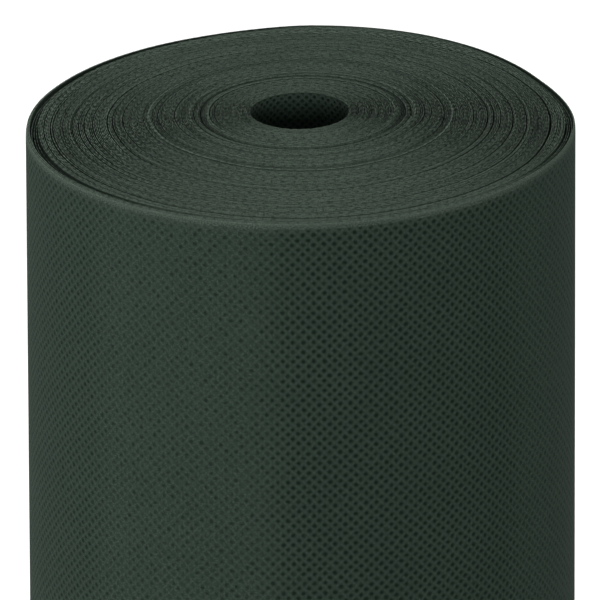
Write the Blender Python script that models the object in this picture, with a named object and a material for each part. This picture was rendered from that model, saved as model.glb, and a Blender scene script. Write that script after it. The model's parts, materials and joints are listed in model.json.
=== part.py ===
"""Roll of spunbond fabric: one long nonwoven web, wound on itself without a core.

The web is followed from its starting edge in the bore, round twenty-four drawn loops, to
the loose end on its outside. Each drawn loop is one unbroken strip that stands for several
layers of the real web, except at both ends of the web, where the strip thins down to a
single layer. The lengths between the ring gaps of the end face are pieces of their own. The
last two lengths, the loose end, lift off the roll about upright lines.
"""

import math

import bmesh
import bpy

# Driving dimensions, in metres.
ROLL_DIAMETER = 0.160
BORE_DIAMETER = 0.0286
WEB_WIDTH = 0.400
LAYER_THICKNESS = 0.0004
TURN_GAP = 0.00045  # air between two drawn loops
JOINT_GAP = 0.0005  # between the ends of two lengths of the web
BORE_RISE = 0.0039  # the upper end face is this much higher at the bore than at the rim
SUNK_DEPTH = 0.0015  # the shaded ring inside the rim lies this much lower
LOOSE_END_LIFT = 0.0005  # the outermost layer and the loose end clear the floor by this

# Counts along the web.
POINTS_PER_LOOP = 24
LAYERS_AT_START = (1, 3)  # in the drawn strip at the start of the first and second loop
LAYERS_AT_END = (3, 1, 1)  # and at the end of the last three loops
LOOPS = {
    "starting_turn": 1,
    "core_turns": 5,
    "inner_turns": 5,
    "middle_turns": 5,
    "outer_turns": 4,
    "rim_turns": 2,
    "proud_turn": 1,
    "outer_ply": 1,
}
POINTS_PER_FOLD = 2  # steps of the loop in each of the two folds of the loose end

# Where the web ends, and where the sunk ring runs, as angles and counts of loops.
END_ANGLE = math.radians(60)
SUNK_START_LOOP = 21.42
SUNK_LENGTH_LOOPS = 1.0
SUNK_RAMP_LOOPS = 0.2
SHARP_EDGE_ANGLE = math.radians(40)

# Colours of the nonwoven, linear.
FACE_COLOUR = (0.026, 0.047, 0.036, 1)
EDGE_COLOUR = (0.047, 0.063, 0.050, 1)
FABRIC_ROUGHNESS = 0.9

ROLL_RADIUS = ROLL_DIAMETER / 2
BORE_RADIUS = BORE_DIAMETER / 2
ALL_LOOPS = sum(LOOPS.values())


def strip_thicknesses():
    """Thickness of the drawn strip at the start of each loop, and at the end of the last."""
    thin = [LAYER_THICKNESS * count for count in LAYERS_AT_START + LAYERS_AT_END]
    full_count = ALL_LOOPS + 1 - len(thin)
    full = (ROLL_RADIUS - BORE_RADIUS - ALL_LOOPS * TURN_GAP - sum(thin)) / full_count
    start = thin[: len(LAYERS_AT_START)]
    return start + [full] * full_count + thin[len(LAYERS_AT_START) :]


def inner_radii():
    """Radius of the strip's inner face at the start of each loop, and at the end of the last."""
    radii = [BORE_RADIUS]
    for thickness in THICKNESSES[:-1]:
        radii.append(radii[-1] + thickness + TURN_GAP)
    return radii


THICKNESSES = strip_thicknesses()
RADII = inner_radii()


def along(values, loop):
    """A value at a place along the web, read between its values at whole loops."""
    whole = min(int(loop), ALL_LOOPS - 1)
    share = loop - whole
    return values[whole] * (1 - share) + values[whole + 1] * share


def ramp(share):
    """A smooth step from 0 to 1."""
    share = min(max(share, 0), 1)
    return share * share * (3 - 2 * share)


def upper_end(loop):
    """Height of the web's upper edge: highest at the bore, with one sunk ring near the rim."""
    outwards = (along(RADII, loop) / ROLL_RADIUS) ** 2
    into = ramp((loop - SUNK_START_LOOP) / SUNK_RAMP_LOOPS)
    out_of = ramp((SUNK_START_LOOP + SUNK_LENGTH_LOOPS - loop) / SUNK_RAMP_LOOPS)
    return WEB_WIDTH + BORE_RISE * (1 - outwards) - SUNK_DEPTH * into * out_of


def in_plan(loop, outward):
    """A point of the strip seen from above, outward from its inner face by a share of it."""
    angle = END_ANGLE - math.tau * loop
    radius = along(RADII, loop) + outward * along(THICKNESSES, loop)
    return radius * math.cos(angle), radius * math.sin(angle)


def stations(first_point, last_point):
    """Places along a length of the web, its two ends drawn back by half the joint gap."""
    places = [point / POINTS_PER_LOOP for point in range(first_point, last_point + 1)]
    for end, sign in ((0, 1), (-1, -1)):
        places[end] += sign * JOINT_GAP / 2 / (math.tau * along(RADII, places[end]))
    return places


def fabric(name, colour):
    material = bpy.data.materials.new(name)
    material.use_nodes = True
    shader = material.node_tree.nodes["Principled BSDF"]
    shader.inputs["Base Color"].default_value = colour
    shader.inputs["Roughness"].default_value = FABRIC_ROUGHNESS
    shader.inputs["Metallic"].default_value = 0
    material.diffuse_color = colour
    return material


def web_length(name, first_point, last_point, colour, lower=0, hinge=(0, 0), parent=None):
    """One length of the web: an upright strip swept along the spiral between two points."""
    bm = bmesh.new()
    rings = []
    for loop in stations(first_point, last_point):
        inner, outer = in_plan(loop, 0), in_plan(loop, 1)
        corners = ((inner, lower), (outer, lower), (outer, upper_end(loop)), (inner, upper_end(loop)))
        rings.append([bm.verts.new((x - hinge[0], y - hinge[1], z)) for (x, y), z in corners])
    for ring, following in zip(rings, rings[1:]):
        for corner in range(len(ring)):
            before = corner - 1
            bm.faces.new((ring[before], ring[corner], following[corner], following[before]))
    bm.faces.new(rings[0])
    bm.faces.new(rings[-1])
    bmesh.ops.recalc_face_normals(bm, faces=bm.faces)
    mesh = bpy.data.meshes.new(name)
    bm.to_mesh(mesh)
    bm.free()
    mesh.shade_smooth()
    mesh.set_sharp_from_angle(angle=SHARP_EDGE_ANGLE)
    mesh.materials.append(fabric(name, colour))
    piece = bpy.data.objects.new(name, mesh)
    bpy.context.scene.collection.objects.link(piece)
    piece.parent = parent
    carried = parent.location if parent else (0, 0, 0)
    piece.location = (hinge[0] - carried[0], hinge[1] - carried[1], 0)
    return piece


def to_segment(point, start, end):
    """Distance from a point to a segment, seen from above."""
    run = (end[0] - start[0], end[1] - start[1])
    reach = (point[0] - start[0], point[1] - start[1])
    share = (reach[0] * run[0] + reach[1] * run[1]) / (run[0] ** 2 + run[1] ** 2)
    share = min(max(share, 0), 1)
    return math.hypot(reach[0] - share * run[0], reach[1] - share * run[1])


def least_gap():
    """The smallest distance between a loop of the strip and the loop inside it."""
    count = ALL_LOOPS * POINTS_PER_LOOP
    inner = [in_plan(point / POINTS_PER_LOOP, 0) for point in range(count + 1)]
    outer = [in_plan(point / POINTS_PER_LOOP, 1) for point in range(count + 1)]
    gaps = []
    for point in range(POINTS_PER_LOOP + 1, count):
        below = point - POINTS_PER_LOOP
        for step in (-1, 0):
            gaps.append(to_segment(inner[point], outer[below + step], outer[below + step + 1]))
            gaps.append(to_segment(outer[below], inner[point + step], inner[point + step + 1]))
    return min(gaps)


def wound_turns():
    """The lengths of the web that stay wound. Returns the point where the loose end starts."""
    point = 0
    for name, loops in LOOPS.items():
        last = point + loops * POINTS_PER_LOOP
        outermost = name == "outer_ply"
        if outermost:
            last -= 2 * POINTS_PER_FOLD
        dotted = outermost or name == "starting_turn"
        web_length(
            name,
            point,
            last,
            FACE_COLOUR if dotted else EDGE_COLOUR,
            lower=LOOSE_END_LIFT if outermost else 0,
        )
        point = last
    return point


def loose_end(point):
    """The free end of the web in two folds, each with its origin on the line it turns about."""
    parent = None
    for name in ("loose_end_root", "loose_end_tip"):
        hinge = in_plan(point / POINTS_PER_LOOP, 1 / 2)
        last = point + POINTS_PER_FOLD
        parent = web_length(name, point, last, FACE_COLOUR, LOOSE_END_LIFT, hinge, parent)
        print(f"{name} turns about x {hinge[0]:.5f}, y {hinge[1]:.5f} m")
        point = last


def main():
    for existing in list(bpy.data.objects):
        bpy.data.objects.remove(existing)
    loose_end(wound_turns())
    print(f"least gap between two loops: {least_gap() * 1000:.3f} mm")


main()
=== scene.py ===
"""Looks of the roll of spunbond fabric: one long nonwoven web, drawn turn by turn.

The web is a strip that winds out from the bore in 163 real turns. The rings of its end face,
its slightly uneven outline and the slack places between its turns follow the photograph.
"""

import json
import math

import bpy
import numpy as np
from mathutils import Matrix

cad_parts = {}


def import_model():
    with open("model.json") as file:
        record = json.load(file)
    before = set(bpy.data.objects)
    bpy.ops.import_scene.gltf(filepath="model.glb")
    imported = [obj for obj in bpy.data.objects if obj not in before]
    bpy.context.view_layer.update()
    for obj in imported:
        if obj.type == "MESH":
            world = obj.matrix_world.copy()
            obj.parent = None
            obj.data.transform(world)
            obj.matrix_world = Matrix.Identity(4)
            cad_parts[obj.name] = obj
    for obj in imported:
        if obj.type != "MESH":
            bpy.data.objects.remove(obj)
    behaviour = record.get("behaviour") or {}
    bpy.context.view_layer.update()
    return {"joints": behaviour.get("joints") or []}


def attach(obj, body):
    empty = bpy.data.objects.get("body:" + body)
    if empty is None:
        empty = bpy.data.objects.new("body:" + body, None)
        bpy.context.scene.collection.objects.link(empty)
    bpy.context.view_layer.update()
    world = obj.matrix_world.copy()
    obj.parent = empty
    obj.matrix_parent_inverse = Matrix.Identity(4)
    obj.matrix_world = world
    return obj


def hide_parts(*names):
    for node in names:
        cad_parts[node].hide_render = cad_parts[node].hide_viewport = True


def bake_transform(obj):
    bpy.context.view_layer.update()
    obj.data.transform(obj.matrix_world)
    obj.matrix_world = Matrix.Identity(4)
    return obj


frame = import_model()

MM = 0.001
FULL_CIRCLE = 360.0

# The wound web. Azimuths are in degrees round the bore, from +X towards +Y.
ROLL_RADIUS = 80 * MM
BORE_RADIUS = 14.3 * MM
WEB_WIDTH = 400 * MM
LAYER_THICKNESS = 0.4 * MM
TURNS = 163
TURN_PITCH = (ROLL_RADIUS - LAYER_THICKNESS - BORE_RADIUS) / TURNS
BOND_PITCH = 3.0 * MM  # between bond points, round the roll and along it

# Turn at which each length of the web ends, as the pieces of the frame are split.
LAST_TURNS = {
    "starting_turn": 2,
    "core_turns": 36,
    "inner_turns": 74,
    "middle_turns": 112,
    "outer_turns": 154,
    "rim_turns": 159,
    "proud_turn": 162,
}
END_GAP = 0.004 * MM  # between two lengths
END_CLEARANCE = 0.3  # of half a bond pitch, from the end of a length to the next station

# Thickness of the layers, by azimuth, as a share of the room that a turn has. The rest is air.
LAYER_SHARES = {0: 0.42, 45: 0.43, 90: 0.43, 135: 0.46, 180: 0.49, 225: 0.49, 270: 0.51, 315: 0.46}
ROOM_POWER = 0.25  # a layer grows less than its room does
INNER_THINNING = 0.18  # layers at the axis would be thinner by this share of a layer
THICKEST_LAYER = 0.42 * MM

# Measured radius, in mm, of rings whose place in an even winding is the first number.
EVEN_RIM = 80.0
RINGS = {
    14.3: {0: 13.9, 45: 14.6, 90: 15.4, 135: 14.8, 180: 14.5, 225: 14.3, 270: 14.3, 315: 14.1},
    34.6: {0: 35.2, 45: 35.4, 75: 35.6, 120: 34.7, 180: 34.2, 225: 33.9, 270: 34.3, 330: 34.1,
           345: 34.6},
    44.4: {0: 43.9, 25: 43.6, 45: 44.3, 60: 45.0, 75: 46.1, 90: 45.2, 120: 44.3, 150: 43.6, 180: 44.3,
           190: 43.8, 235: 43.4, 250: 44.3, 280: 45.2, 300: 44.6},
    57.4: {0: 57.4, 25: 56.8, 45: 57.0, 60: 57.3, 75: 58.4, 90: 57.0, 100: 55.6, 135: 53.9, 150: 54.5,
           180: 55.6, 200: 56.0, 212: 57.2, 240: 58.5, 270: 60.0, 282: 60.2, 300: 59.0, 330: 58.0},
    66.0: {0: 65.0, 30: 63.8, 60: 64.3, 75: 66.0, 90: 65.0, 110: 63.6, 130: 63.0, 150: 64.0, 165: 65.0,
           180: 66.1, 210: 67.2, 225: 68.0, 250: 68.4, 270: 69.3, 280: 69.5, 300: 68.4, 330: 67.2,
           345: 66.0},
    73.6: {0: 71.8, 15: 71.0, 22: 70.3, 45: 70.2, 60: 70.5, 75: 71.8, 90: 70.8, 120: 69.2, 150: 70.0,
           180: 71.7, 200: 72.4, 225: 73.5, 240: 74.7, 250: 75.2, 270: 76.3, 280: 76.4, 290: 75.9,
           310: 75.0, 330: 74.0, 345: 72.6},
}
RIM_OUT_OF_ROUND = {0: 0.3, 6: -0.3, 16: -1.6, 25: -2.4, 38: -1.5, 48: -0.4, 57: 0.5, 64: 1.2, 71: 1.6,
                    78: 1.8, 90: 1.8, 97: 0.3, 103: -0.6, 110: -1.3, 117: -1.5, 132: -1.4, 153: -0.8,
                    165: -0.1, 172: 0.1, 185: 0.2, 350: 0.4}
SHELL_TURN = 160.375  # the outermost turns start here
SHELL_RAMP_TURNS = 0.1
SUNK_TURNS = 3  # these lie sunk inside them
SUNK_RAMP_TURNS = 0.3
# Extra room of the sunk turns and their depth, both in mm, by azimuth.
SUNK_ROOM = {0: 1.0, 30: 0.5, 60: 0.0, 90: 0.0, 105: 0.1, 120: 0.3, 140: 0.6, 160: 0.9, 175: 1.2,
             185: 1.1, 200: 0.5, 215: 0.1, 230: -0.1, 250: -0.5, 270: -0.8, 290: -0.8, 310: -0.5,
             330: 0.0, 345: 0.6}
SUNK_DEPTH = {0: 1.3, 20: 1.0, 45: 0.55, 60: 0.3, 75: 0.2, 92: 0.3, 105: 0.7, 120: 0.9, 150: 1.2,
              185: 1.5, 205: 1.4, 225: 1.0, 245: 0.3, 260: 0.1, 320: 0.1, 335: 0.5, 347: 1.0}
SUNK_THINNING = 0.28  # of a layer's thickness, for each millimetre of depth
THINNEST_SHARE = 0.15  # least that is left of it
SMOOTHING_SPAN = 12  # degrees
SAMPLES_PER_DEGREE = 10

# Slack places: place in an even winding (mm), width (mm), azimuth of the widest spot, narrowness.
OPENINGS = (
    (75.6, 0.20, 185, 3.0),
    (73.6, 0.52, 320, 0.4),
    (73.6, 0.29, 175, 2.0),
    (70.6, 0.24, 195, 2.0),
    (69.6, 0.20, 280, 1.0),
    (68.4, 0.20, 15, 3.0),
    (66.0, 0.32, 150, 1.2),
    (66.0, 0.38, 300, 0.8),
    (64.4, 0.17, 200, 2.0),
    (63.2, 0.18, 185, 3.0),
    (61.6, 0.32, 352, 4.0),
    (61.0, 0.18, 190, 3.0),
    (57.4, 0.26, 345, 1.2),
    (57.4, 0.31, 165, 2.5),
    (55.8, 0.32, 188, 9.0),
    (55.4, 0.24, 345, 3.0),
    (54.0, 0.24, 350, 3.0),
    (52.6, 0.17, 190, 2.5),
    (50.0, 0.29, 5, 6.0),
    (48.6, 0.20, 340, 3.0),
    (47.0, 0.20, 20, 3.0),
    (45.8, 0.24, 190, 2.5),
    (43.0, 0.20, 240, 0.6),
    (41.6, 0.29, 8, 3.0),
    (41.6, 0.24, 165, 2.5),
    (37.3, 0.29, 350, 2.0),
    (36.8, 0.24, 200, 3.0),
    (35.2, 0.20, 0, 3.0),
    (34.6, 0.24, 240, 0.6),
    (31.3, 0.29, 340, 2.0),
    (31.3, 0.29, 195, 5.0),
    (29.4, 0.24, 20, 2.0),
    (29.2, 0.24, 175, 2.0),
    (26.2, 0.24, 165, 1.5),
    (25.2, 0.20, 200, 3.0),
    (22.5, 0.17, 20, 1.5),
    (20.5, 0.29, 5, 4.0),
    (18.0, 0.17, 180, 1.5),
)
OPENING_FADE_TURNS = 9
OPENING_ALL_ROUND = 0.15  # least share of an opening's width
OPENING_RAMP_TURNS = 0.06
TURN_SHIFT = 0.075  # mm, how far turns lie off their even place
TURN_SWELL = 0.085  # how much thicker or thinner one turn may be than the rest
LAST_ROOM_TURN = TURNS - 1.001  # the room beyond it is the room here

# Ridges and furrows of the end face: place in an even winding (mm), height (mm), width in turns,
# how much thicker the layers are there.
RIDGES = (
    (79.2, 0.00, 1.8, 0.7),
    (66.8, 0.10, 0.8, 0.3),
    (57.9, 0.15, 0.9, 0.3),
    (54.8, 0.10, 0.7, 0.2),
    (44.4, 0.40, 0.9, 0.6),
    (42.6, -0.15, 1.5, -0.15),
    (32.2, 0.20, 0.9, 0.35),
    (29.2, -0.25, 1.6, -0.3),
    (26.8, 0.20, 0.9, 0.35),
)
RIDGE_HEIGHT, RIDGE_SWELL = 1, 3  # columns of the table
END_FACE_DOME = 3.9 * MM  # the bore stands this much higher than the rim
END_FACE_SLOPE = math.tan(math.radians(0.67))  # the end face rises a little towards +X
TURN_HEIGHT_SPREAD = 0.035 * MM
SLOW_SPAN = 9  # turns that share a slow rise or fall
SLOW_DAMPING = 2.4  # their sum is divided by this
SLOW_SHARE = 0.9
RIM_DROP = 0.45 * MM
RIM_DROP_TURNS = 4
FLOOR_LIFT = 0.5 * MM  # of the outermost layer and of the loose end
FOOT_SPREAD = 0.12 * MM
SHOULDER_DROP = 0.11 * MM
BRINK_DEPTH = 3.2 * MM  # of the rounded upper brink of the outermost layer

# Beads: the web is pinched at its bond points and swells between them.
BEAD_HEIGHT = 0.05 * MM
BEAD_SWELL = 0.5
BEAD_STRENGTHS = (-0.15, 1.35)  # weakest and strongest
BEAD_SHARE_OUTSIDE = 0.2

SHARP_ANGLE = math.radians(20)  # keeps the light off the walls of the gaps

# Colours, linear.
FACE_GREEN = (0.0255, 0.0440, 0.0318, 1)
# dark green of the grain and of the bond points, whose darkness is partly painted shade
FACE_DOT = (0.0085, 0.0165, 0.0115, 1)
# lighter green: random clouds and flecks, painted highlight on the ridges, and painted sheen streaks
FACE_LIGHT = (0.0620, 0.0910, 0.0710, 1)
# paler than the face: partly the edges' own colour, partly the end face's sheen painted in
EDGE_GREEN_AND_SHEEN = (0.0635, 0.0865, 0.0680, 1)
EDGE_DARK = (0.0250, 0.0375, 0.0285, 1)
# painted highlight: paler green on the brink's rounding and on the walls just below the upper edge
BRINK_HIGHLIGHT_GREEN = (0.0500, 0.0710, 0.0550, 1)
EDGE_LIGHT = (0.1280, 0.1580, 0.1300, 1)

# Finish, the same all over.
ROUGHNESS = 0.9
SPECULAR = 0.08

# Patterns of the nonwoven. Lengths are in bond pitches, and heights are shares of FACE_BUMP. A step
# is where it starts and ends, a noise its scale, detail and roughness, and a range what a value is
# multiplied by and what is added to it.
FIBRE_RUNS = ((38, (3.0, 0.55, 1)), (-34, (3.2, 0.5, 1)))  # angle in degrees, and stretch
FIBRE_NOISE = (5.0, 3.0, 0.6)
BOND_WANDER = 0.32
WANDER_SCALE = 0.9
BORE_PITCH_SHARE = 0.78  # the points in the bore lie closer, as in the photograph
ROWS_OUTSIDE = (-0.35, -0.95)  # the bond points begin here, below the upper edge
ROWS_IN_BORE = (-0.04, -0.20)
ROWS_AT_FOOT = (0.2, 0.5)  # and end here, above the foot
CLEAR_NOISE = (1.7, 2.0, 0.6)
CLEAR_RANGE = (2.2, -0.2)
MISSING_NOISE = (1.4, 2.0, 0.6)
MISSING_STEP = (0.40, 0.60)
LOST_RANGE = (1.1, 0.6)
# Azimuths on the outside where painted sheen makes the bond points faint, and how clear they stay.
FAINT_DOTS = ((226, 262, 0.55), (180, 226, 0.80), (322, 356, 0.65))
FAINT_RAMP_OUT, FAINT_RAMP_IN = 4, 2  # from their ends
DOT_STEP = (0.222, 0.168)
# darkens the bond points: partly their own colour, partly painted shade in their pits
DOT_DARKNESS_AND_SHADE = 1.1
DOT_DEPTH = 1.0
RISE_STEP = (0.14, 0.48)  # the web rises from the bond points outwards
RISE_HEIGHT_SHARE = 0.55
# The raised ridges are painted lighter where fibres run, a painted highlight.
RIDGE_STEP = (0.085, 0.01)
RIDGE_THREAD_STEP = (0.46, 0.66)
RIDGE_HEIGHT_SHARE = 0.35
THREAD_HEIGHT_SHARE = 0.55
CLOUD_NOISE = (0.16, 3.0)
CLOUD_RANGE = (0.3, -0.12)
FLECK_STEP = (0.57, 0.70)
FLECK_SHARE = 0.65
SHEEN_STREAK_STRETCH = (2.6, 5.2, 1)
SHEEN_STREAK_NOISE = (1.6, 3.0, 0.65)
SHEEN_STREAK_STEP = (0.50, 0.62)
SHEEN_STREAK_SHARE = 1.7
GRAIN_NOISE = (8.0, 3.0, 0.7)
GRAIN_STEP = (0.52, 0.36)
GRAIN_SHARE = 0.55
# The paler colour just below the upper edge of the walls is painted highlight.
BRINK_SPREAD = 0.55  # strength of the brink's paler colour just below it
BRINK_SPREAD_STEP = (-1.3, -0.5)
FACE_BUMP = 0.2 * MM

# Patterns of the cut edges and of the brink. The grain and the fuzz have a size in metres.
EDGE_STRETCH = (1, 0.55, 1)
EDGE_GRAIN, EDGE_GRAIN_NOISE = 0.55 * MM, (2.0, 0.6)
EDGE_FUZZ, EDGE_FUZZ_NOISE = 0.35 * MM, (2.0, 0.7)
EDGE_RUN_NOISE = (3.6, 2.0, 0.6)
EDGE_RUN_SHARE = 0.3
EDGE_BEAD_SHARE = 0.08
EDGE_SPOT_STEP = (0.34, 0.57)
EDGE_FUZZ_STEP = (0.50, 0.68)
EDGE_FUZZ_SHARE = 0.45
EDGE_BUMP = 0.12 * MM
BRINK_NOISE = (7.0, 3.0, 0.7)
BRINK_STEP = (-0.55, -0.05)
BRINK_FUZZ_STEP = (0.46, 0.60)
BRINK_FUZZ_SHARE = 0.62
BRINK_BUMP = 0.1 * MM

# Picture.
CAMERA_AWAY = 65 * ROLL_RADIUS
CAMERA_ABOVE = 24.978 * ROLL_RADIUS
CAMERA_ASIDE = -0.0053 * ROLL_RADIUS
CAMERA_DOWN = math.radians(21.549)
CAMERA_ROLL = math.radians(-0.22)
CAMERA_LENS = 1150.5
SENSOR_WIDTH = 36
CLIP_END = 100
# Lamps: azimuth, elevation, distance, power, width, height.
LAMPS = {
    "key": (190, -1, 2.0, 17.2, 0.7, 0.3),
    "front": (272, 15, 2.5, 25.5, 1.2, 0.6),
    "back": (90, -1, 2.0, 9, 0.4, 0.3),
    "overhead": (90, 83, 2.0, 37, 0.15, 0.15),
}
SKY_LOW_LEVEL = 1.0  # up to the first height below, as the sine of an elevation
SKY_HIGH_LEVEL = 0.15  # above the second height
SKY_HEIGHTS = (0.06, 0.18)
FLOOR_REACH = 5.0
FLOOR_LEVEL = 0.4
FLOOR_CAMERA_LEVEL = 0.78

HINGES = {joint["name"]: joint["pos_m"] for joint in frame["joints"]}


def azimuth_of(point):
    return math.degrees(math.atan2(point[1], point[0]))


ROOT_AZIMUTH = azimuth_of(HINGES["loose_end_lift"])
TIP_AZIMUTH = azimuth_of(HINGES["loose_end_curl"])
END_AZIMUTH = 2 * TIP_AZIMUTH - ROOT_AZIMUTH
rng = np.random.default_rng(7)


# Where the web runs.


def round_table(points):
    """A smooth closed curve of values through the given azimuths, a table for read_round."""
    degrees = np.arange(0, FULL_CIRCLE, 1 / SAMPLES_PER_DEGREE)
    values = np.interp(degrees, list(points), list(points.values()), period=FULL_CIRCLE)
    span = SMOOTHING_SPAN * SAMPLES_PER_DEGREE
    window = np.hanning(span + 2)[1:-1]
    padded = np.concatenate((values[-span:], values, values[:span]))
    return np.convolve(padded, window / window.sum(), mode="same")[span:-span]


def read_round(table, degrees):
    place = (np.asarray(degrees) % FULL_CIRCLE) * SAMPLES_PER_DEGREE
    low = np.floor(place).astype(int) % len(table)
    share = place - np.floor(place)
    return table[low] * (1 - share) + table[(low + 1) % len(table)] * share


RIM_SHIFT = round_table(RIM_OUT_OF_ROUND)
LOOSENESS = round_table(SUNK_ROOM)
DEPTH = round_table(SUNK_DEPTH)
SHARES = round_table(LAYER_SHARES)
EVEN_SHELL = (BORE_RADIUS + TURN_PITCH * SHELL_TURN) / MM
EVEN_LOOSE = EVEN_SHELL - SUNK_TURNS * TURN_PITCH / MM
CONTROL = [(even, round_table(ring) - even) for even, ring in RINGS.items()]
CONTROL += [(EVEN_LOOSE, RIM_SHIFT - LOOSENESS), (EVEN_SHELL, RIM_SHIFT), (EVEN_RIM, RIM_SHIFT)]


def azimuth_at(turn):
    return END_AZIMUTH - FULL_CIRCLE * (turn - TURNS)


def outermost_turn(azimuth):
    """Where the last turn passes an azimuth, as a count of turns."""
    return TURNS - (azimuth - END_AZIMUTH) / FULL_CIRCLE


def length_at(turn):
    return math.tau * (BORE_RADIUS * turn + TURN_PITCH * turn**2 / 2)


def turn_at(length):
    return (np.sqrt(BORE_RADIUS**2 + TURN_PITCH * length / math.pi) - BORE_RADIUS) / TURN_PITCH


def even_radius(turn):
    return (BORE_RADIUS + TURN_PITCH * turn) / MM


def ring_radius(turn):
    """Radius of the inner face of the web, in mm, as the rings of the photograph have it."""
    even = even_radius(turn)
    degrees = azimuth_at(turn)
    shift = np.zeros_like(even)
    for (low, low_table), (high, high_table) in zip(CONTROL, CONTROL[1:]):
        inside = (even >= low) & (even < high) if high < EVEN_RIM else even >= low
        share = (even[inside] - low) / (high - low)
        shift[inside] = read_round(low_table, degrees[inside]) * (1 - share)
        shift[inside] += read_round(high_table, degrees[inside]) * share
    return even + shift


def slack(turn):
    """How far openings push the web outwards, in mm."""
    degrees = azimuth_at(turn)
    total = np.zeros_like(turn)
    for even, width, widest, narrowness in OPENINGS:
        closed_at = round((even * MM - BORE_RADIUS) / TURN_PITCH)
        opposite = ((END_AZIMUTH - widest - FULL_CIRCLE / 2) % FULL_CIRCLE) / FULL_CIRCLE
        start = closed_at + opposite
        window = (np.cos(np.radians(degrees - widest) / 2) ** 2) ** narrowness
        window = OPENING_ALL_ROUND + (1 - OPENING_ALL_ROUND) * window
        opened = np.clip((turn - start) / OPENING_RAMP_TURNS, 0, 1)
        past = np.clip((turn - start) / OPENING_FADE_TURNS, 0, 1)
        total += width * window * opened * (1 - past) ** 2
    return total


def room(turn):
    """Distance to the next turn, without the openings, in mm."""
    here = np.minimum(turn, LAST_ROOM_TURN)
    return ring_radius(here + 1) - ring_radius(here)


OFFSETS = TURNS + 3
TURN_OFFSETS = rng.normal(0, 1, OFFSETS)
TURN_SHIFTS = rng.uniform(-TURN_SHIFT, TURN_SHIFT, OFFSETS)
TURN_SWELLS = rng.normal(0, TURN_SWELL, OFFSETS)
SLOW_DRAWS = rng.normal(0, 1, OFFSETS + SLOW_SPAN - 1)
SLOW_WINDOW = np.hanning(SLOW_SPAN) / SLOW_DAMPING
SLOW_OFFSETS = np.convolve(SLOW_DRAWS, SLOW_WINDOW, mode="same")[SLOW_SPAN // 2 :][:OFFSETS]


def turn_offset(turn, offsets):
    """A value at a turn, read smoothly between its values at whole turns."""
    whole = np.floor(turn).astype(int)
    share = turn - whole
    share = share * share * (3 - 2 * share)
    return offsets[whole] * (1 - share) + offsets[whole + 1] * share


def at_ridges(turn, column):
    """What all ridges and furrows add up to at a turn, for one column of their table."""
    total = np.zeros_like(turn)
    for ridge in RIDGES:
        centre = (ridge[0] * MM - BORE_RADIUS) / TURN_PITCH
        total += ridge[column] * np.exp(-(((turn - centre) / ridge[2]) ** 2))
    return total


def sunk_depth(turn, degrees):
    """How far the turns inside the outermost ones lie below them, in mm."""
    into = np.clip((turn - SHELL_TURN + SUNK_TURNS) / SUNK_RAMP_TURNS, 0, 1)
    out_of = np.clip((SHELL_TURN - turn) / SHELL_RAMP_TURNS, 0, 1)
    return read_round(DEPTH, degrees) * into * out_of


def top_height(turn, radius, degrees):
    """Height of the web's upper edge."""
    dome = END_FACE_DOME * (1 - (radius / ROLL_RADIUS) ** 2)
    slope = END_FACE_SLOPE * radius * np.cos(np.radians(degrees))
    uneven = turn_offset(turn, TURN_OFFSETS) + SLOW_SHARE * turn_offset(turn, SLOW_OFFSETS)
    ridges = at_ridges(turn, RIDGE_HEIGHT) * MM
    drop = RIM_DROP * np.clip((turn - (TURNS - RIM_DROP_TURNS)) / RIM_DROP_TURNS, 0, 1) ** 2
    drop = drop + sunk_depth(turn, degrees) * MM
    return WEB_WIDTH + dome + slope + TURN_HEIGHT_SPREAD * uneven + ridges - drop


def layer_thickness(turn, inner, degrees):
    """Thickness of the web without its beads, in metres."""
    free = room(turn) * MM
    thickness = read_round(SHARES, degrees) * free * (TURN_PITCH / free) ** ROOM_POWER
    thickness *= (1 + at_ridges(turn, RIDGE_SWELL)) * (1 + turn_offset(turn, TURN_SWELLS))
    thickness *= 1 - INNER_THINNING * (1 - inner / ROLL_RADIUS)
    thickness = np.minimum(thickness, THICKEST_LAYER)
    return thickness * np.clip(1 - SUNK_THINNING * sunk_depth(turn, degrees), THINNEST_SHARE, 1)


# Each length of the web, as a mesh.

# Sections of the strip, for the wound lengths and for the outermost layer. A point of the outline
# is a share of the thickness, and metres below the upper edge, or None at the foot. Sides count
# from the foot: walls show the fabric, brink its pale upper end, and the rest are cut edges. In the
# bake map, a side in strips has the start and height of its strip, and crest and foot give the
# corner and size of their plans. Side 3 of a wound length, the inner half of its upper edge, lies
# in the strip of the outer wall too, where it has next to no height.
WOUND_OUT_STRIP, WOUND_IN_STRIP = (0.72, 0.12), (0.86, 0.12)
INNER_SECTION = {
    "outline": ((0, None), (1, None), (1, SHOULDER_DROP), (0.5, 0), (0, SHOULDER_DROP)),
    "walls": (1, 4),
    "brink": (),
    "strips": {1: WOUND_OUT_STRIP, 3: WOUND_OUT_STRIP, 4: WOUND_IN_STRIP},
    "crest": (0, 0, 0.70),
    "foot": (0.71, 0, 0.28),
    "lift": 0,
    "foot_spread": FOOT_SPREAD,
}
OUTER_STRIP, INNER_STRIP = (0.02, 0.62), (0.66, 0.20)
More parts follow.
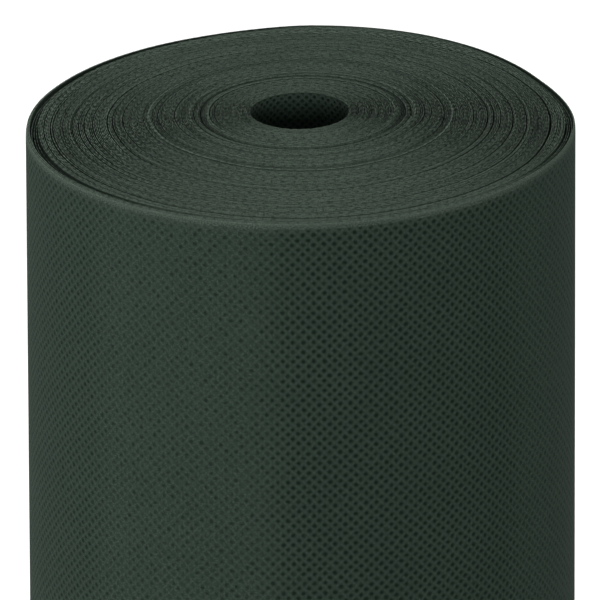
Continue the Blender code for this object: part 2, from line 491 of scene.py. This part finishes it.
# Its brink is painted paler towards the top, a painted highlight on the rounding.
OUTER_SECTION = {
    "outline": (
        (0, None),
        (1, None),
        (1, BRINK_DEPTH),
        (0.94, 1.7 * MM),
        (0.7, 0.7 * MM),
        (0.3, 0.15 * MM),
        (0, 0),
        (-0.3, 0.15 * MM),
        (-0.2, 1.0 * MM),
        (0, BRINK_DEPTH),
    ),
    "walls": (1, 2, 8, 9),
    "brink": (3, 4, 5, 6, 7),
    "strips": {1: OUTER_STRIP, 2: OUTER_STRIP, 3: OUTER_STRIP, 8: INNER_STRIP, 9: INNER_STRIP},
    "crest": (0, 0.87, 0.12),
    "foot": (0.5, 0.87, 0.12),
    "lift": FLOOR_LIFT,
    "foot_spread": 0,
}
STRIP_MARGIN = 0.005  # at both ends of a strip
STRIP_REACH = 1.02  # height of a strip's upper end, as a share of the web's width
PLAN_REACH = 2.02  # width of a plan, as a share of the greatest distance from an axis
FACE_INDEX, EDGE_INDEX, BRINK_INDEX = 0, 1, 2


def stations(first, last):
    """Places along a length of the web: every half bond pitch, and both its ends."""
    start, end = length_at(first) + END_GAP / 2, length_at(last) - END_GAP / 2
    half = BOND_PITCH / 2
    low = math.ceil(start / half + END_CLEARANCE)
    high = math.floor(end / half - END_CLEARANCE)
    inner = np.arange(low, high + 1)
    lengths = np.concatenate(([start], inner * half, [end]))
    beads = np.concatenate(([0], np.where(inner % 2 == 0, 1.0, -1.0), [0]))
    return lengths, turn_at(lengths), beads


def web_mesh(name, first, last, section):
    """The web between two turns, and how long it is."""
    lengths, turn, beads = stations(first, last)
    degrees = azimuth_at(turn)
    inner = (ring_radius(turn) + slack(turn) + turn_offset(turn, TURN_SHIFTS)) * MM
    beads = beads * rng.uniform(*BEAD_STRENGTHS, len(beads))
    beads = beads * np.where(turn > SHELL_TURN - 1, BEAD_SHARE_OUTSIDE, 1)
    thickness = layer_thickness(turn, inner, degrees) * (1 + BEAD_SWELL * beads)
    crest = top_height(turn, inner, degrees) + BEAD_HEIGHT * beads
    foot = section["lift"] + section["foot_spread"] * np.abs(turn_offset(turn, TURN_OFFSETS))
    corners = np.zeros((len(turn), len(section["outline"]), 3))
    for place, (share, below) in enumerate(section["outline"]):
        radius = inner + share * thickness
        corners[:, place, 0] = radius * np.cos(np.radians(degrees))
        corners[:, place, 1] = radius * np.sin(np.radians(degrees))
        corners[:, place, 2] = foot if below is None else crest - below
    mesh = swept(name, corners)
    lay_out(mesh, corners, lengths, crest, section)
    mesh.shade_smooth()
    mesh.set_sharp_from_angle(angle=SHARP_ANGLE)
    return mesh, lengths[-1] - lengths[0]


def swept(name, corners):
    """A closed mesh through the corners of the section at each station, its two ends last."""
    count, sides = corners.shape[:2]
    index = np.arange(count * sides).reshape(count, sides)
    following = np.roll(index, -1, axis=1)
    quads = np.stack((index[:-1], index[1:], following[1:], following[:-1]), axis=-1)
    faces = quads.reshape(-1, 4).tolist() + [index[0].tolist(), index[-1][::-1].tolist()]
    mesh = bpy.data.meshes.new(name)
    mesh.from_pydata(corners.reshape(-1, 3).tolist(), [], faces)
    return mesh


def on_bake_map(side, section, share, height, plan):
    """Places of all corners in the bake map, for the faces of one side of the section."""
    if side in section["strips"]:
        start, size = section["strips"][side]
        return np.stack((STRIP_MARGIN + (1 - 2 * STRIP_MARGIN) * share, start + size * height), axis=-1)
    left, lower, size = section["crest"] if side else section["foot"]
    return np.array((left, lower)) + size * plan


def lay_out(mesh, corners, lengths, crest, section):
    """Web map: bond pitches along and below the edge. Bake map: edges from above, walls in strips."""
    count, sides = corners.shape[:2]
    along = np.repeat(lengths[:, None], sides, axis=1)
    web = np.stack((along, corners[:, :, 2] - crest[:, None]), axis=-1) / BOND_PITCH
    share = (along - lengths[0]) / (lengths[-1] - lengths[0])
    height = corners[:, :, 2] / (WEB_WIDTH * STRIP_REACH)
    plan = corners[:, :, :2] / (np.abs(corners[:, :, :2]).max() * PLAN_REACH) + 0.5
    maps = {name: np.zeros((count - 1, sides, 4, 2)) for name in ("OFBake", "web")}
    material = np.full((count - 1, sides), EDGE_INDEX)
    for side in range(sides):
        bake = on_bake_map(side, section, share, height, plan)
        after = (side + 1) % sides
        for corner, (step, place) in enumerate(((0, side), (1, side), (1, after), (0, after))):
            rows = slice(step, count - 1 + step)
            maps["OFBake"][:, side, corner] = bake[rows, place]
            maps["web"][:, side, corner] = web[rows, place]
        if side in section["walls"]:
            material[:, side] = FACE_INDEX
        if side in section["brink"]:
            material[:, side] = BRINK_INDEX
    ends = np.zeros(2 * sides * 2)
    for name, places in maps.items():
        layer = mesh.uv_layers.new(name=name)
        layer.data.foreach_set("uv", np.concatenate((places.reshape(-1), ends)).astype(np.float32))
    mesh.uv_layers["web"].active = True
    mesh.uv_layers["web"].active_render = True
    indices = np.concatenate((material.reshape(-1), [EDGE_INDEX, EDGE_INDEX]))
    mesh.polygons.foreach_set("material_index", indices.astype(np.int32))


# Materials.


class Nodes:
    """Short forms for the nodes of one material."""

    def __init__(self, name):
        self.material = bpy.data.materials.new(name)
        self.material.use_nodes = True
        self.tree = self.material.node_tree
        self.shader = self.tree.nodes["Principled BSDF"]

    def add(self, kind, **settings):
        node = self.tree.nodes.new(kind)
        for key, value in settings.items():
            setattr(node, key, value)
        return node

    def put(self, socket, value):
        if isinstance(value, bpy.types.NodeSocket):
            self.tree.links.new(value, socket)
        else:
            socket.default_value = value

    def math(self, operation, first, second=0.0, third=0.0):
        node = self.add("ShaderNodeMath", operation=operation)
        for socket, value in zip(node.inputs, (first, second, third)):
            self.put(socket, value)
        return node.outputs[0]

    def product(self, first, *others):
        for other in others:
            first = self.math("MULTIPLY", first, other)
        return first

    def length(self, across, along):
        squares = self.math("ADD", self.product(across, across), self.product(along, along))
        return self.math("SQRT", squares)

    def step(self, value, start, end):
        """0 before start, 1 after end, smooth between."""
        node = self.add("ShaderNodeMapRange", interpolation_type="SMOOTHSTEP")
        for key, given in (("Value", value), ("From Min", start), ("From Max", end)):
            self.put(node.inputs[key], given)
        return node.outputs["Result"]

    def mix(self, share, first, second):
        """Second over first. The share is kept between 0 and 1 by the node."""
        node = self.add("ShaderNodeMix", data_type="RGBA")
        self.put(node.inputs["Factor"], share)
        self.put(node.inputs[6], first)
        self.put(node.inputs[7], second)
        return node.outputs[2]

    def noise(self, place, scale, detail=2.0, roughness=0.5, output="Fac"):
        node = self.add("ShaderNodeTexNoise")
        self.put(node.inputs["Vector"], place)
        node.inputs["Scale"].default_value = scale
        node.inputs["Detail"].default_value = detail
        node.inputs["Roughness"].default_value = roughness
        return node.outputs[output]

    def turned(self, place, degrees, stretch):
        node = self.add("ShaderNodeMapping")
        self.put(node.inputs["Vector"], place)
        node.inputs["Rotation"].default_value = (0, 0, math.radians(degrees))
        node.inputs["Scale"].default_value = stretch
        return node.outputs["Vector"]

    def split(self, vector):
        node = self.add("ShaderNodeSeparateXYZ")
        self.put(node.inputs[0], vector)
        return node.outputs

    def web_place(self):
        node = self.add("ShaderNodeUVMap", uv_map="web")
        return node.outputs["UV"]

    def finish(self, colour, height, distance):
        bump = self.add("ShaderNodeBump")
        bump.inputs["Distance"].default_value = distance
        self.put(bump.inputs["Height"], height)
        self.put(self.shader.inputs["Normal"], bump.outputs["Normal"])
        self.put(self.shader.inputs["Base Color"], colour)
        self.shader.inputs["Roughness"].default_value = ROUGHNESS
        self.shader.inputs["Specular IOR Level"].default_value = SPECULAR
        return self.material


def fibres(nodes, place):
    """Thin fibres that cross each other, from 0 to 1."""
    first, second = (nodes.noise(nodes.turned(place, *run), *FIBRE_NOISE) for run in FIBRE_RUNS)
    return nodes.math("MAXIMUM", first, second)


def bond_cell(nodes, place, in_bore):
    """Distances from the middle of a cell of the bond grid, along the web and down it, up to 0.5."""
    split = nodes.split(place)
    drift = nodes.split(nodes.noise(place, WANDER_SCALE, output="Color"))
    closer = nodes.math("MULTIPLY_ADD", in_bore, 1 / BORE_PITCH_SHARE - 1, 1.0)
    distances = []
    for axis in "XY":
        even = nodes.product(split[axis], closer)
        cells = nodes.math("MULTIPLY_ADD", drift[axis], BOND_WANDER, even)
        off_middle = nodes.math("SUBTRACT", nodes.math("FRACT", cells), 0.5)
        distances.append(nodes.math("ABSOLUTE", off_middle))
    return distances


def to_bond_point(nodes, along, down):
    """Distance to the nearest bond point: one is in the middle of a cell, four are at its corners."""
    from_corner = [nodes.math("SUBTRACT", 0.5, distance) for distance in (along, down)]
    return nodes.math("MINIMUM", nodes.length(along, down), nodes.length(*from_corner))


def dotted_rows(nodes, below, in_bore):
    """1 where the web has bond points, 0 at its upper edge and at its foot."""
    start, end = (
        nodes.math("MULTIPLY_ADD", in_bore, row_in_bore - row_outside, row_outside)
        for row_in_bore, row_outside in zip(ROWS_IN_BORE, ROWS_OUTSIDE)
    )
    foot_start, foot_end = (row - WEB_WIDTH / BOND_PITCH for row in ROWS_AT_FOOT)
    return nodes.product(nodes.step(below, start, end), nodes.step(below, foot_start, foot_end))


def clearness(nodes, place):
    """How clear the bond points are, and the mask of painted sheen where they are faint."""
    along = nodes.split(place)["X"]
    clear = nodes.math("MULTIPLY_ADD", nodes.noise(place, *CLEAR_NOISE), *CLEAR_RANGE)
    clear = nodes.math("MINIMUM", clear, 1.0)
    missing = nodes.step(nodes.noise(place, *MISSING_NOISE), *MISSING_STEP)
    painted_sheen = 0.0
    # painted sheen: in these windows the points fade, go missing and are streaked lighter
    for start, end, clearest in FAINT_DOTS:
        first, last = (length_at(outermost_turn(azimuth)) / BOND_PITCH for azimuth in (end, start))
        rise = nodes.step(along, first - FAINT_RAMP_OUT, first + FAINT_RAMP_IN)
        fall = nodes.step(along, last + FAINT_RAMP_OUT, last - FAINT_RAMP_IN)
        faint = nodes.product(rise, fall, 1 - clearest)
        lost = nodes.product(faint, nodes.math("MULTIPLY_ADD", missing, *LOST_RANGE))
        clear = nodes.product(clear, nodes.math("SUBTRACT", 1.0, lost))
        painted_sheen = nodes.math("ADD", faint, painted_sheen)
    return clear, painted_sheen


def face_colour(nodes, place, thread, ridge, painted_sheen, dot):
    """Green with lighter clouds and flecks, painted highlights and sheen, dark grain and shaded bond
    points.
    """
    cloud = nodes.math("MULTIPLY_ADD", nodes.noise(place, *CLOUD_NOISE), *CLOUD_RANGE)
    brink = nodes.step(nodes.split(place)["Y"], *BRINK_SPREAD_STEP)
    sheen_streak = nodes.noise(nodes.turned(place, 0, SHEEN_STREAK_STRETCH), *SHEEN_STREAK_NOISE)
    grain = nodes.step(nodes.noise(place, *GRAIN_NOISE), *GRAIN_STEP)
    layers = (
        (cloud, FACE_LIGHT),
        # painted highlight on the raised ridges
        (nodes.product(ridge, nodes.step(thread, *RIDGE_THREAD_STEP)), FACE_LIGHT),
        (nodes.product(nodes.step(thread, *FLECK_STEP), FLECK_SHARE), FACE_LIGHT),
        # painted highlight: paler just below the upper edge
        (nodes.product(brink, BRINK_SPREAD), BRINK_HIGHLIGHT_GREEN),
        # painted sheen: lighter streaks where the bond points are faint
        (nodes.product(nodes.step(sheen_streak, *SHEEN_STREAK_STEP), painted_sheen, SHEEN_STREAK_SHARE), FACE_LIGHT),
        (nodes.product(grain, GRAIN_SHARE), FACE_DOT),
        # painted shade: bond points darkened beyond their own colour, as the shade in their pits
        (nodes.product(dot, DOT_DARKNESS_AND_SHADE), FACE_DOT),
    )
    colour = FACE_GREEN
    for share, over in layers:
        colour = nodes.mix(share, colour, over)
    return colour


def face_material():
    """Nonwoven: a staggered grid of round bond points, partly painted shade, and ridges with painted
    highlight.
    """
    nodes = Nodes("web_face")
    place = nodes.web_place()
    split = nodes.split(place)
    bore_end = length_at(LAST_TURNS["starting_turn"]) / BOND_PITCH
    in_bore = nodes.step(split["X"], bore_end + 1, bore_end)
    along, down = bond_cell(nodes, place, in_bore)
    away = to_bond_point(nodes, along, down)
    rows = dotted_rows(nodes, split["Y"], in_bore)
    clear, painted_sheen = clearness(nodes, place)
    dot = nodes.product(nodes.step(away, *DOT_STEP), rows, clear)
    off_ridge = nodes.math("ABSOLUTE", nodes.math("SUBTRACT", nodes.math("ADD", along, down), 0.5))
    ridge = nodes.product(nodes.step(off_ridge, *RIDGE_STEP), rows)
    thread = fibres(nodes, place)
    colour = face_colour(nodes, place, thread, ridge, painted_sheen, dot)
    height = nodes.math("MULTIPLY_ADD", ridge, RIDGE_HEIGHT_SHARE, nodes.product(dot, -DOT_DEPTH))
    height = nodes.math("MULTIPLY_ADD", nodes.step(away, *RISE_STEP), RISE_HEIGHT_SHARE, height)
    height = nodes.math("MULTIPLY_ADD", thread, THREAD_HEIGHT_SHARE, height)
    return nodes.finish(colour, height, FACE_BUMP)


def edge_material():
    """Cut edges of the web: paler, partly as painted sheen, fuzzy, with a darker spot at each bond
    point.
    """
    nodes = Nodes("web_edge")
    place = nodes.web_place()
    bead = nodes.math("COSINE", nodes.product(nodes.split(place)["X"], math.tau))
    plan = nodes.turned(nodes.add("ShaderNodeTexCoord").outputs["Object"], 0, EDGE_STRETCH)
    grain = nodes.noise(plan, 1 / EDGE_GRAIN, *EDGE_GRAIN_NOISE)
    fuzz = nodes.noise(plan, 1 / EDGE_FUZZ, *EDGE_FUZZ_NOISE)
    run = nodes.noise(place, *EDGE_RUN_NOISE)
    spots = nodes.math("MULTIPLY_ADD", run, EDGE_RUN_SHARE, nodes.product(grain, 1 - EDGE_RUN_SHARE))
    spots = nodes.math("MULTIPLY_ADD", bead, EDGE_BEAD_SHARE, spots)
    colour = nodes.mix(nodes.step(spots, *EDGE_SPOT_STEP), EDGE_DARK, EDGE_GREEN_AND_SHEEN)
    fluff = nodes.product(nodes.step(fuzz, *EDGE_FUZZ_STEP), EDGE_FUZZ_SHARE)
    colour = nodes.mix(fluff, colour, EDGE_LIGHT)
    return nodes.finish(colour, nodes.math("ADD", fuzz, spots), EDGE_BUMP)


def brink_material():
    """Upper brink of the outermost layer: no bond points, fuzzy, paler towards its top as painted
    highlight.
    """
    nodes = Nodes("web_brink")
    place = nodes.web_place()
    fuzz = nodes.noise(place, *BRINK_NOISE)
    colour = nodes.mix(nodes.step(nodes.split(place)["Y"], *BRINK_STEP), FACE_GREEN, BRINK_HIGHLIGHT_GREEN)
    fluff = nodes.product(nodes.step(fuzz, *BRINK_FUZZ_STEP), BRINK_FUZZ_SHARE)
    colour = nodes.mix(fluff, colour, EDGE_LIGHT)
    return nodes.finish(colour, nodes.math("ADD", fuzz, fibres(nodes, place)), BRINK_BUMP)


# In the order of FACE_INDEX, EDGE_INDEX and BRINK_INDEX.
MATERIALS = (face_material(), edge_material(), brink_material())


# The pieces.


def web_piece(node, first, last, section):
    mesh, length = web_mesh("web_" + node, first, last, section)
    for material in MATERIALS:
        mesh.materials.append(material)
    piece = bpy.data.objects.new("web_" + node, mesh)
    bpy.context.scene.collection.objects.link(piece)
    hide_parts(node)
    return piece


def wound_pieces():
    """The lengths inside the outermost one. Returns the turn where that one starts."""
    first, inside = 0, "core_turns"
    for node, last in LAST_TURNS.items():
        piece = web_piece(node, first, last, INNER_SECTION)
        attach(piece, "roll")
        first, inside = last, node
    return first


def outer_pieces(first):
    """The outermost layer, and the loose end, which is cut in two at its hinges."""
    turns = (first, outermost_turn(ROOT_AZIMUTH), outermost_turn(TIP_AZIMUTH), TURNS)
    ply, root, tip = (
        web_piece(node, start, end, OUTER_SECTION)
        for node, start, end in zip(("outer_ply", "loose_end_root", "loose_end_tip"), turns, turns[1:])
    )
    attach(ply, "roll")
    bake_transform(root)
    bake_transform(tip)


outer_pieces(wound_pieces())


# Floor, light and camera.


def seen_directly(tree):
    """1 for what the camera, reflections and clear things see, 0 for the light on the object."""
    ray = tree.nodes.new("ShaderNodeLightPath")
    seen = ray.outputs["Is Camera Ray"]
    for other in ("Is Glossy Ray", "Is Transmission Ray"):
        either = tree.nodes.new("ShaderNodeMath")
        either.operation = "MAXIMUM"
        tree.links.new(seen, either.inputs[0])
        tree.links.new(ray.outputs[other], either.inputs[1])
        seen = either.outputs[0]
    return seen


def floor_material():
    """A plain grey that the camera sees as near white, and that keeps the object's shadow."""
    material = bpy.data.materials.new("floor")
    material.use_nodes = True
    tree = material.node_tree
    tree.nodes.clear()
    diffuse = tree.nodes.new("ShaderNodeBsdfDiffuse")
    diffuse.inputs["Color"].default_value = (FLOOR_LEVEL, FLOOR_LEVEL, FLOOR_LEVEL, 1)
    glow = tree.nodes.new("ShaderNodeEmission")
    level = tree.nodes.new("ShaderNodeMath")
    level.operation = "MULTIPLY"
    level.inputs[1].default_value = FLOOR_CAMERA_LEVEL
    total = tree.nodes.new("ShaderNodeAddShader")
    output = tree.nodes.new("ShaderNodeOutputMaterial")
    tree.links.new(seen_directly(tree), level.inputs[0])
    tree.links.new(level.outputs[0], glow.inputs["Strength"])
    tree.links.new(diffuse.outputs[0], total.inputs[0])
    tree.links.new(glow.outputs[0], total.inputs[1])
    tree.links.new(total.outputs[0], output.inputs["Surface"])
    return material


def floor():
    mesh = bpy.data.meshes.new("floor")
    directions = ((-1, -1), (1, -1), (1, 1), (-1, 1))
    corners = [(x * FLOOR_REACH, y * FLOOR_REACH, 0) for x, y in directions]
    mesh.from_pydata(corners, [], [(0, 1, 2, 3)])
    mesh.materials.append(floor_material())
    ground = bpy.data.objects.new("floor", mesh)
    bpy.context.scene.collection.objects.link(ground)


def world():
    """A white background, whose light comes mostly from near the horizon."""
    sky = bpy.data.worlds.new("sky")
    bpy.context.scene.world = sky
    sky.use_nodes = True
    tree = sky.node_tree
    background = tree.nodes["Background"]
    background.inputs["Color"].default_value = (1, 1, 1, 1)
    place = tree.nodes.new("ShaderNodeTexCoord")
    split = tree.nodes.new("ShaderNodeSeparateXYZ")
    band = tree.nodes.new("ShaderNodeMapRange")
    band.interpolation_type = "SMOOTHSTEP"
    band.inputs["From Min"].default_value, band.inputs["From Max"].default_value = SKY_HEIGHTS
    band.inputs["To Min"].default_value = SKY_LOW_LEVEL
    band.inputs["To Max"].default_value = SKY_HIGH_LEVEL
    level = tree.nodes.new("ShaderNodeMapRange")
    level.inputs["To Max"].default_value = 1.0
    tree.links.new(place.outputs["Generated"], split.inputs[0])
    tree.links.new(split.outputs["Z"], band.inputs["Value"])
    tree.links.new(band.outputs["Result"], level.inputs["To Min"])
    tree.links.new(seen_directly(tree), level.inputs["Value"])
    tree.links.new(level.outputs["Result"], background.inputs["Strength"])


def lamp(name, azimuth, elevation, away, power, width, height):
    """A soft lamp that shines on the middle of the roll."""
    data = bpy.data.lights.new(name, "AREA")
    data.shape = "ELLIPSE"
    data.size, data.size_y = width, height
    data.energy = power
    light = bpy.data.objects.new(name, data)
    turned, raised = math.radians(azimuth), math.radians(elevation)
    level = away * math.cos(raised)
    above = WEB_WIDTH / 2 + away * math.sin(raised)
    light.location = (level * math.cos(turned), level * math.sin(turned), above)
    light.rotation_euler = (math.pi / 2 - raised, 0, turned + math.pi / 2)
    bpy.context.scene.collection.objects.link(light)


def camera():
    data = bpy.data.cameras.new("camera")
    data.lens = CAMERA_LENS
    data.sensor_width = SENSOR_WIDTH
    data.clip_end = CLIP_END
    viewer = bpy.data.objects.new("camera", data)
    viewer.location = (CAMERA_ASIDE, -CAMERA_AWAY, WEB_WIDTH + CAMERA_ABOVE)
    tilt = Matrix.Rotation(math.pi / 2 - CAMERA_DOWN, 3, "X")
    viewer.rotation_euler = (tilt @ Matrix.Rotation(CAMERA_ROLL, 3, "Z")).to_euler()
    bpy.context.scene.collection.objects.link(viewer)
    bpy.context.scene.camera = viewer


floor()
world()
for name, settings in LAMPS.items():
    lamp(name, *settings)
camera()
bpy.context.scene.view_settings.view_transform = "Standard"
